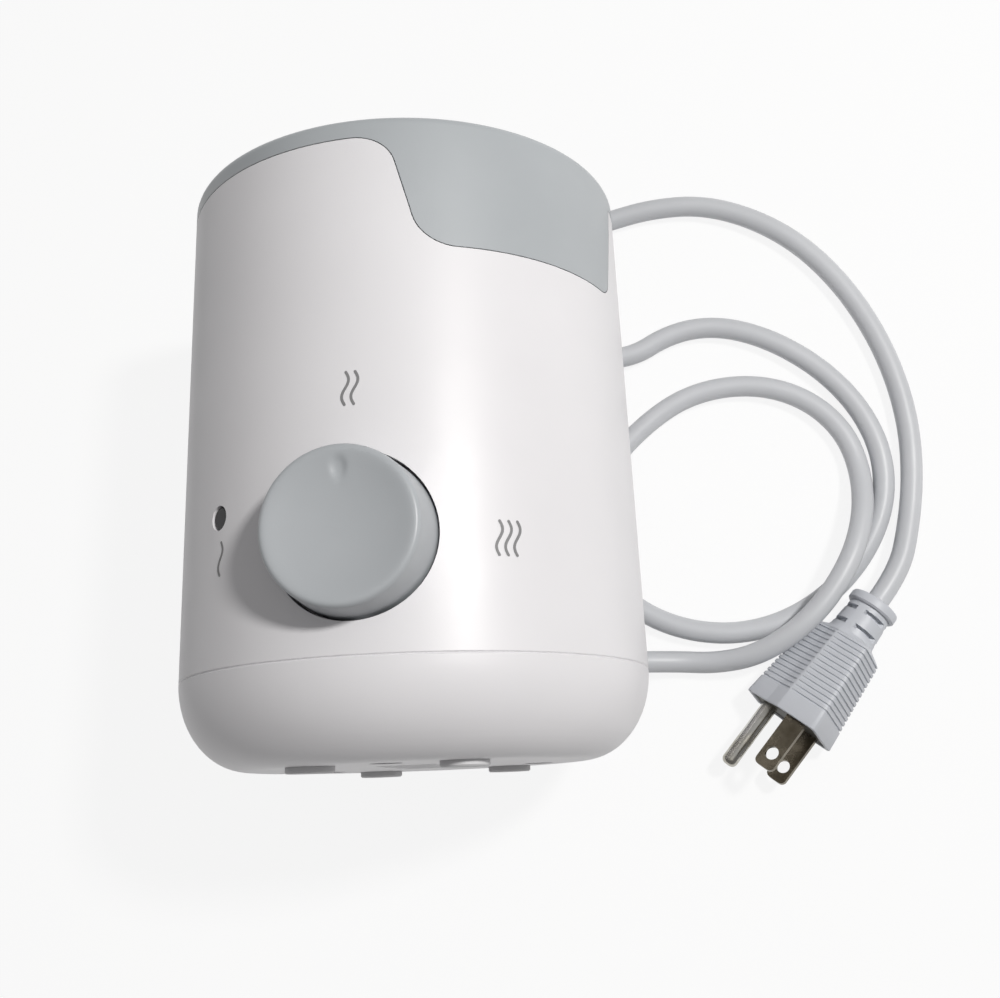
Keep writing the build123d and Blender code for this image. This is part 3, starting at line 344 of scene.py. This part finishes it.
recess_edge = 0.3
recess_lip = 0.02
face_edge = ((0.0, 0.45), (0.12, 0.14), (0.45, 0.0))
grip_end_edge = 0.4
grip_end_inwards = 0.35
shoulder = ((0.5, 0.22), (1.2, 0.62), (1.8, 0.92))
neck_start = 31.6
neck_start_radius = 7.15
neck_end = 40.8
neck_end_radius = 6.4
neck_slots = (33.2, 38.4)
neck_slot_half = 0.75
neck_slot_depth = 1.5
neck_web_half = 1.5
end_ring_radius = 7.6
end_ring_back = 44.0
end_ring_edge = 0.9
end_ring_edge_share = 0.3
end_ring_lip = 0.5


def rounded_outline(corners, radius, steps, edge_step):
    """Points clockwise round a polygon whose corners are rounded, and the way inwards at each."""
    points = []
    for index, corner in enumerate(corners):
        here = Vector(corner)
        before = (Vector(corners[index - 1]) - here).normalized()
        after = (Vector(corners[(index + 1) % len(corners)]) - here).normalized()
        half = before.angle(after) / 2
        run = radius / (sin(half) / cos(half))
        middle = here + (before + after).normalized() * radius / sin(half)
        start, end = here + before * run, here + after * run
        if points:
            gap = start - points[-1]
            count = max(1, round(gap.length / edge_step))
            points += [points[-1] + gap * k / count for k in range(1, count)]
        for step in range(steps):
            way = (start - middle).lerp(end - middle, step / (steps - 1)).normalized()
            points.append(middle + way * radius)
    gap = points[0] - points[-1]
    count = max(1, round(gap.length / edge_step))
    points += [points[-1] + gap * k / count for k in range(1, count)]
    ways = []
    for index, point in enumerate(points):
        along = (points[(index + 1) % len(points)] - points[index - 1]).normalized()
        ways.append(Vector((along.y, -along.x)))
    return points, ways


grip_points, grip_ways = rounded_outline(grip_corners, grip_corner_radius, grip_corner_steps, grip_edge_step)
plug_centre = Vector((plug_middle, 0.0))


def grip_ring(back, share, inwards=0.0, spare_line=False):
    """Ring of the grip at a distance behind the face, moved inwards except on its raised line."""
    ring = []
    for point, way in zip(grip_points, grip_ways):
        on_line = spare_line and abs(point.x - grip_line) < grip_line_half
        place = plug_centre + (point - plug_centre) * share + way * (0.0 if on_line else inwards)
        ring.append((place.x, place.y, -back))
    return ring


def neck_ring(back, radius, slot=0.0, blend=1.0, share=grip_end_share):
    """Ring of the neck, cut in by a slot except at its four webs, or part of the way to the grip."""
    ring = []
    for point in grip_points:
        way = (point - plug_centre).normalized()
        web = min(abs(way.x), abs(way.y)) * radius < neck_web_half
        round_place = plug_centre + way * (radius - (0.0 if web else slot))
        place = (plug_centre + (point - plug_centre) * share).lerp(round_place, blend)
        ring.append((place.x, place.y, -back))
    return ring


def grip_share(back):
    """Share of the face's outline that the grip has at a distance behind the face."""
    return 1.0 + (grip_end_share - 1.0) * back / grip_length


plug_rings = [
    grip_ring(recess_depth, recess_share),
    grip_ring(recess_edge, recess_share),
    grip_ring(0.0, recess_share + recess_lip),
]
plug_rings += [grip_ring(back, grip_share(back), inwards) for back, inwards in face_edge]
for groove in range(groove_count):
    for ahead, depth in groove_rings:
        back = groove_first + groove * groove_pitch + ahead
        if back < grip_length - grip_end_edge:
            plug_rings.append(grip_ring(back, grip_share(back), depth * groove_depth, spare_line=True))
plug_rings += [
    grip_ring(grip_length - grip_end_edge, grip_share(grip_length - grip_end_edge)),
    grip_ring(grip_length, grip_end_share, grip_end_inwards),
]
plug_rings += [neck_ring(grip_length + behind, neck_start_radius, blend=blend) for behind, blend in shoulder]
plug_rings.append(neck_ring(neck_start, neck_start_radius))
slot_rings = ((-1, 0.0), (-1, 1.0), (1, 1.0), (1, 0.0))
for slot_place in neck_slots:
    for ahead, depth in slot_rings:
        back = slot_place + ahead * neck_slot_half
        share = (back - neck_start) / (neck_end - neck_start)
        radius = neck_start_radius + (neck_end_radius - neck_start_radius) * share
        plug_rings.append(neck_ring(back, radius, depth * neck_slot_depth))
plug_rings += [
    neck_ring(neck_end, neck_end_radius),
    neck_ring(neck_end, end_ring_radius - end_ring_lip),
    neck_ring(neck_end + end_ring_lip, end_ring_radius),
    neck_ring(end_ring_back - end_ring_edge, end_ring_radius),
    neck_ring(
        end_ring_back - end_ring_edge_share * end_ring_edge,
        end_ring_radius - end_ring_edge_share * end_ring_edge,
    ),
    neck_ring(end_ring_back, end_ring_radius - end_ring_edge),
]


def plug_place(point):
    """Place in the scene of a point of the plug, given in millimetres from its face."""
    aside, upwards, ahead = point
    return plug_origin + (plug_side * aside + plug_up * upwards + plug_nose * ahead) / 1000


bpy.ops.object.select_all(action="DESELECT")
bpy.ops.mesh.primitive_circle_add(vertices=len(grip_points), radius=0.01, fill_type="NGON")
plug_grip = bpy.context.object
plug_grip.name = "plug_grip"
bpy.ops.object.mode_set(mode="EDIT")
bpy.ops.mesh.select_mode(type="EDGE")
bpy.ops.mesh.select_all(action="SELECT")
shape = bmesh.from_edit_mesh(plug_grip.data)
column = shape.verts.layers.int.new("column")
for number, vert in enumerate(shape.verts):
    vert[column] = number
for number, ring in enumerate(plug_rings):
    if number:
        bpy.ops.mesh.extrude_edges_move()
    shape = bmesh.from_edit_mesh(plug_grip.data)
    column = shape.verts.layers.int["column"]
    for vert in shape.verts:
        if vert.select:
            vert.co = plug_place(ring[vert[column]])
    bmesh.update_edit_mesh(plug_grip.data)
bpy.ops.mesh.edge_face_add()
bpy.ops.mesh.select_all(action="SELECT")
bpy.ops.mesh.remove_doubles(threshold=0.000001)
bpy.ops.mesh.normals_make_consistent(inside=False)
bpy.ops.object.mode_set(mode="OBJECT")
plug_grip.data.attributes.remove(plug_grip.data.attributes["column"])
bpy.ops.object.shade_smooth_by_angle(angle=radians(24.0))
plug_finish = moulding(
    "plug_grip", (0.590, 0.610, 0.650), (0.550, 0.570, 0.610), 0.46, wear=0.14, grain_scale=2400.0, relief=0.00003
)
plug_grip.data.materials.append(plug_finish)
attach(plug_grip, "root")
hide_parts("plug_body")


# Bridge of the plug: the hard plate that holds the pins, sunk a little in the soft face. Its dark brown is partly
# its own dark plastic and partly painted shade of the recess it sits in.
dress(
    moulding("bridge_dark_painted_shade", (0.072, 0.068, 0.052), (0.045, 0.042, 0.034), 0.55, wear=0.2, grain_scale=900.0),
    "plug_bridge",
)


# Plated metal: drawn and tumbled parts under a thin bright plate. Fine lines run in it, the plate
# dulls in patches, and the gloss follows them.
plated, enter, leave = effect_group(
    "plated_surface",
    (
        ("Vector", "NodeSocketVector", None),
        ("Colour", "NodeSocketColor", (0.6, 0.6, 0.6, 1.0)),
        ("Tarnish", "NodeSocketColor", (0.4, 0.4, 0.4, 1.0)),
        ("Roughness", "NodeSocketFloat", 0.25),
    ),
    (("Colour", "NodeSocketColor"), ("Roughness", "NodeSocketFloat"), ("Height", "NodeSocketFloat")),
)
stretch = plated.nodes.new("ShaderNodeMapping")
stretch.inputs["Scale"].default_value = (60.0, 60.0, 2200.0)
plated.links.new(enter.outputs["Vector"], stretch.inputs["Vector"])
lines = plated.nodes.new("ShaderNodeTexNoise")
lines.inputs["Scale"].default_value = 1.0
lines.inputs["Detail"].default_value = 3.0
plated.links.new(stretch.outputs["Vector"], lines.inputs["Vector"])
plated.links.new(lines.outputs["Fac"], leave.inputs["Height"])
patches = plated.nodes.new("ShaderNodeTexNoise")
patches.inputs["Scale"].default_value = 160.0
patches.inputs["Detail"].default_value = 5.0
plated.links.new(enter.outputs["Vector"], patches.inputs["Vector"])
dulled = plated.nodes.new("ShaderNodeMapRange")
dulled.inputs["From Min"].default_value = 0.42
dulled.inputs["From Max"].default_value = 0.66
plated.links.new(patches.outputs["Fac"], dulled.inputs["Value"])
tint = plated.nodes.new("ShaderNodeMix")
tint.data_type = "RGBA"
plated.links.new(dulled.outputs["Result"], tint.inputs["Factor"])
plated.links.new(enter.outputs["Colour"], tint.inputs[6])
plated.links.new(enter.outputs["Tarnish"], tint.inputs[7])
plated.links.new(tint.outputs[2], leave.inputs["Colour"])
gloss = plated.nodes.new("ShaderNodeMath")
gloss.operation = "MULTIPLY_ADD"
gloss.inputs[1].default_value = 0.18
plated.links.new(dulled.outputs["Result"], gloss.inputs[0])
plated.links.new(enter.outputs["Roughness"], gloss.inputs[2])
plated.links.new(gloss.outputs[0], leave.inputs["Roughness"])


def plating(name, colour, tarnish, roughness, relief=0.000012):
    """Finish of a metal piece: its colour, the colour it dulls to, and its gloss."""
    finish = bpy.data.materials.new(name)
    finish.use_nodes = True
    tree = finish.node_tree
    shader = tree.nodes["Principled BSDF"]
    shader.inputs["Metallic"].default_value = 1.0
    place = tree.nodes.new("ShaderNodeTexCoord")
    surface = tree.nodes.new("ShaderNodeGroup")
    surface.node_tree = plated
    surface.inputs["Colour"].default_value = (*colour, 1.0)
    surface.inputs["Tarnish"].default_value = (*tarnish, 1.0)
    surface.inputs["Roughness"].default_value = roughness
    bump = tree.nodes.new("ShaderNodeBump")
    bump.inputs["Strength"].default_value = 0.4
    bump.inputs["Distance"].default_value = relief
    tree.links.new(place.outputs["Object"], surface.inputs["Vector"])
    tree.links.new(surface.outputs["Colour"], shader.inputs["Base Color"])
    tree.links.new(surface.outputs["Roughness"], shader.inputs["Roughness"])
    tree.links.new(surface.outputs["Height"], bump.inputs["Height"])
    tree.links.new(bump.outputs["Normal"], shader.inputs["Normal"])
    return finish


# Pins of the plug: two flat blades of nickel plated brass, dulled to a brown cast by use, and a
# brighter round earth pin. All three are held in the bridge.
dress(plating("blade_nickel", (0.200, 0.176, 0.132), (0.115, 0.098, 0.070), 0.22), "plug_blades")
dress(plating("pin_nickel", (0.62, 0.61, 0.58), (0.40, 0.38, 0.33), 0.12), "plug_earth_pin")


# Housing and base: the white tapered shell and the bowl under it, satin mouldings with a faintly
# cool cast. They meet at a fine seam.
shell_finish = moulding(
    "white_shell", (0.790, 0.782, 0.800), (0.765, 0.757, 0.775), 0.42, wear=0.10, grain_scale=2600.0,
    relief=0.000018,
)
dress(shell_finish, "housing", "base")


# Rim ring and front panel: one grey moulding, pushed on round the mouth. Its tongue runs down the
# front and is left bare.
dress(
    moulding("grey_trim", (0.430, 0.455, 0.474), (0.405, 0.430, 0.448), 0.40, wear=0.12, grain_scale=2200.0),
    "rim_trim",
)


# Well: a matt white liner that hangs in the mouth, a silicone ring under it, and the aluminium
# plate that heats the water. The plate is brushed round and round and dulled by boiling.
dress(
    moulding("well_white", (0.70, 0.70, 0.715), (0.66, 0.66, 0.672), 0.52, wear=0.12, grain_scale=1500.0),
    "well_liner",
)
dress(
    moulding("seal_silicone", (0.62, 0.62, 0.62), (0.56, 0.56, 0.55), 0.45, wear=0.10, grain_scale=1200.0),
    "well_seal",
)
dress(plating("plate_aluminium", (0.60, 0.61, 0.62), (0.44, 0.44, 0.44), 0.34, relief=0.00003), "heating_plate")


# Heater: a sheathed element bent into a ring under the plate, its steel clamp, the thermostat and
# the fuse that watch it, and the screws that hold them.
dress(plating("heater_sheath", (0.45, 0.45, 0.46), (0.32, 0.31, 0.30), 0.45), "heater_element")
steel_finish = plating("zinc_steel", (0.56, 0.56, 0.57), (0.42, 0.42, 0.42), 0.30)
dress(
    steel_finish, "heater_clamp", "heater_clamp_screws", "thermostat", "thermal_fuse", "base_screws",
    "board_screws", "cord_clamp_screws",
)


# Feet: four soft grey pads pressed into the floor of the base.
dress(
    moulding(
        "rubber_foot", (0.68, 0.68, 0.69), (0.62, 0.62, 0.63), 0.62, wear=0.2, grain_scale=1300.0,
        relief=0.00006,
    ),
    "feet",
)


# Control board and what is wired to it: a green board with its parts, a black switch with its
# shaft, a black terminal block and the bar that clamps the lead.
dress(moulding("board_green", (0.040, 0.160, 0.070), (0.030, 0.125, 0.055), 0.34, coat=0.4), "control_board")
dress(
    moulding("inner_black", (0.050, 0.050, 0.055), (0.036, 0.036, 0.040), 0.45, wear=0.15),
    "rotary_switch", "switch_shaft", "terminal_block", "cord_clamp",
)


# Wires: brown, blue, and green with yellow, in soft insulation.
dress(
    moulding("wire_brown", (0.20, 0.080, 0.040), (0.160, 0.062, 0.032), 0.42),
    "live_wire", "heater_leads", "sensor_leads", "board_lead",
)
dress(moulding("wire_blue", (0.030, 0.100, 0.400), (0.024, 0.080, 0.330), 0.42), "neutral_wire")
dress(moulding("wire_green", (0.250, 0.500, 0.050), (0.560, 0.520, 0.040), 0.42), "earth_wire")


# Indicator: a dark smoky lens sunk in the housing, polished, with the small lamp behind it.
lens_finish = moulding(
    "lens_dark", (0.014, 0.013, 0.015), (0.024, 0.022, 0.025), 0.12, wear=0.05, relief=0.000004
)
lens_finish.node_tree.nodes["Principled BSDF"].inputs["Specular IOR Level"].default_value = 0.22
dress(lens_finish, "indicator_lens")
dress(moulding("lamp_clear", (0.80, 0.45, 0.35), (0.72, 0.38, 0.30), 0.12, coat=0.6), "indicator_led")


# The warmer was drawn standing on its feet and lies tipped by the taper of its housing, so places
# on its skin are given standing, in millimetres, and laid down with it.
lean_sine, lean_cosine = 0.013462, 0.999909
back_shift = 0.078970
back_height = 0.0623175


def laid_down(aside, towards_back, height):
    """Place in the lying warmer of a point given standing up, in millimetres."""
    x, y, z = aside / 1000, towards_back / 1000, height / 1000
    return Vector((x, z * lean_cosine - y * lean_sine - back_shift, back_height - z * lean_sine - y * lean_cosine))


# Setting knob: a grey cap with a soft round lip, a shallow dish and a thumb mark near its edge.
# It is hollow, with a hub that grips the shaft of the switch.
knob_height = 51.6
knob_face = 71.8
knob_turns = 160
knob_profile = [
    (2.6, -2.17), (5.2, -2.00), (7.8, -1.72), (9.1, -1.54), (10.4, -1.34), (11.4, -1.17), (12.4, -0.98),
    (13.2, -0.82), (14.0, -0.64), (14.6, -0.50), (15.2, -0.36),
    (15.9, -0.20), (16.5, -0.08), (17.0, -0.02), (17.35, -0.03), (17.7, -0.11), (18.0, -0.28), (18.25, -0.55),
    (18.42, -0.92), (18.50, -1.40), (18.60, -3.0), (18.92, -8.0), (19.25, -13.0), (19.46, -16.0), (19.40, -16.22),
    (19.25, -16.3), (17.6, -16.3), (17.42, -16.1), (17.0, -9.0), (16.7, -5.0), (16.0, -4.3), (5.4, -4.3),
    (5.2, -4.6), (5.2, -13.8), (4.9, -14.0), (3.2, -14.0), (3.05, -13.8), (3.05, -6.2),
]
mark_reach = 13.2
mark_half_width = 1.7
mark_half_length = 2.3
mark_depth = 0.55
mark_limit = 17.0
dish_middle = -2.2
dish_underside = -4.0
pole_radius = 0.1

bpy.ops.object.select_all(action="DESELECT")
bpy.ops.mesh.primitive_circle_add(vertices=knob_turns, radius=0.001, fill_type="NGON")
knob_cap = bpy.context.object
knob_cap.name = "knob_cap"
bpy.ops.object.mode_set(mode="EDIT")
bpy.ops.mesh.select_mode(type="EDGE")
bpy.ops.mesh.select_all(action="SELECT")
for number, (radius, rise) in enumerate(knob_profile):
    if number:
        bpy.ops.mesh.extrude_edges_move()
    shape = bmesh.from_edit_mesh(knob_cap.data)
    for vert in shape.verts:
        if vert.select:
            turn = atan2(vert.co.y, vert.co.x)
            vert.co = Vector((radius * cos(turn), radius * sin(turn), rise)) / 1000
    bmesh.update_edit_mesh(knob_cap.data)
bpy.ops.mesh.edge_face_add()
bpy.ops.mesh.select_all(action="DESELECT")
shape = bmesh.from_edit_mesh(knob_cap.data)
for face in shape.faces:
    if len(face.verts) == knob_turns:
        face.select = True
bmesh.update_edit_mesh(knob_cap.data)
bpy.ops.mesh.poke()
shape = bmesh.from_edit_mesh(knob_cap.data)
for vert in shape.verts:
    across, along, rise = vert.co * 1000
    if hypot(across, along) < pole_radius and rise > dish_underside:
        rise = dish_middle
    if hypot(across, along) < mark_limit and rise > dish_underside:
        off = hypot(across / mark_half_width, (along - mark_reach) / mark_half_length)
        rise -= mark_depth * exp(-off ** 4)
    vert.co = laid_down(across, -(knob_face + rise), knob_height + along)
bmesh.update_edit_mesh(knob_cap.data)
bpy.ops.mesh.select_all(action="SELECT")
bpy.ops.mesh.normals_make_consistent(inside=False)
bpy.ops.object.mode_set(mode="OBJECT")
bpy.ops.object.shade_smooth_by_angle(angle=radians(35.0))
knob_finish = moulding(
    "knob_grey", (0.440, 0.462, 0.482), (0.410, 0.432, 0.452), 0.38, wear=0.12, grain_scale=2200.0,
    relief=0.00002,
)
knob_cap.data.materials.append(knob_finish)
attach(knob_cap, "dial")
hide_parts("knob")


# Setting marks: steam waves printed in grey on the housing, one, two and three of them for the
# three heats. Each wave is a thin layer of ink with round ends.
wave_length = 8.6
wave_half_width = 0.34
wave_swing = 0.85
wave_tip = 0.02
wave_pitch = 2.25
ink_thickness = 0.03
skin_seam_radius = 62.0
skin_seam_height = 24.0
skin_taper = 0.013463
setting_marks = (
    ("setting_1_mark", 1, -35.1, 50.4),
    ("setting_2_mark", 2, 0.0, 86.4),
    ("setting_3_mark", 3, 33.9, 50.1),
)
ink = moulding("mark_ink", (0.235, 0.235, 0.240), (0.205, 0.205, 0.210), 0.50, wear=0.10, grain_scale=3000.0)
for mark_name, wave_count, bearing, middle_height in setting_marks:
    waves = []
    for wave in range(wave_count):
        sideways = (wave - (wave_count - 1) / 2) * wave_pitch
        bpy.ops.object.select_all(action="DESELECT")
        bpy.ops.mesh.primitive_grid_add(x_subdivisions=4, y_subdivisions=56, size=2.0)
        print_wave = bpy.context.object
        for vert in print_wave.data.vertices:
            across, along = vert.co.x, vert.co.y * wave_length / 2
            swing = wave_swing * sin(2 * pi * along / wave_length)
            slope = wave_swing * 2 * pi / wave_length * cos(2 * pi * along / wave_length)
            spare = max(0.0, wave_half_width - (wave_length / 2 - abs(along)))
            half = max(wave_tip ** 2, wave_half_width ** 2 - spare ** 2) ** 0.5
            length = hypot(1.0, slope)
            place_x = sideways + swing + across * half / length
            place_z = middle_height + along - across * half * slope / length
            radius = skin_seam_radius - skin_taper * (place_z - skin_seam_height) + ink_thickness
            turn = radians(bearing) + place_x / radius
            vert.co = laid_down(radius * sin(turn), -radius * cos(turn), place_z)
        waves.append(print_wave)
    for print_wave in waves:
        print_wave.select_set(True)
    bpy.context.view_layer.objects.active = waves[0]
    if len(waves) > 1:
        bpy.ops.object.join()
    mark = waves[0]
    mark.name = mark_name
    bpy.ops.object.mode_set(mode="EDIT")
    bpy.ops.mesh.select_all(action="SELECT")
    bpy.ops.mesh.flip_normals()
    bpy.ops.object.mode_set(mode="OBJECT")
    layer = mark.modifiers.new("layer", "SOLIDIFY")
    layer.thickness = ink_thickness / 1000
    layer.offset = -1.0
    bpy.ops.object.modifier_apply(modifier="layer")
    mark.data.materials.append(ink)
    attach(mark, "root")
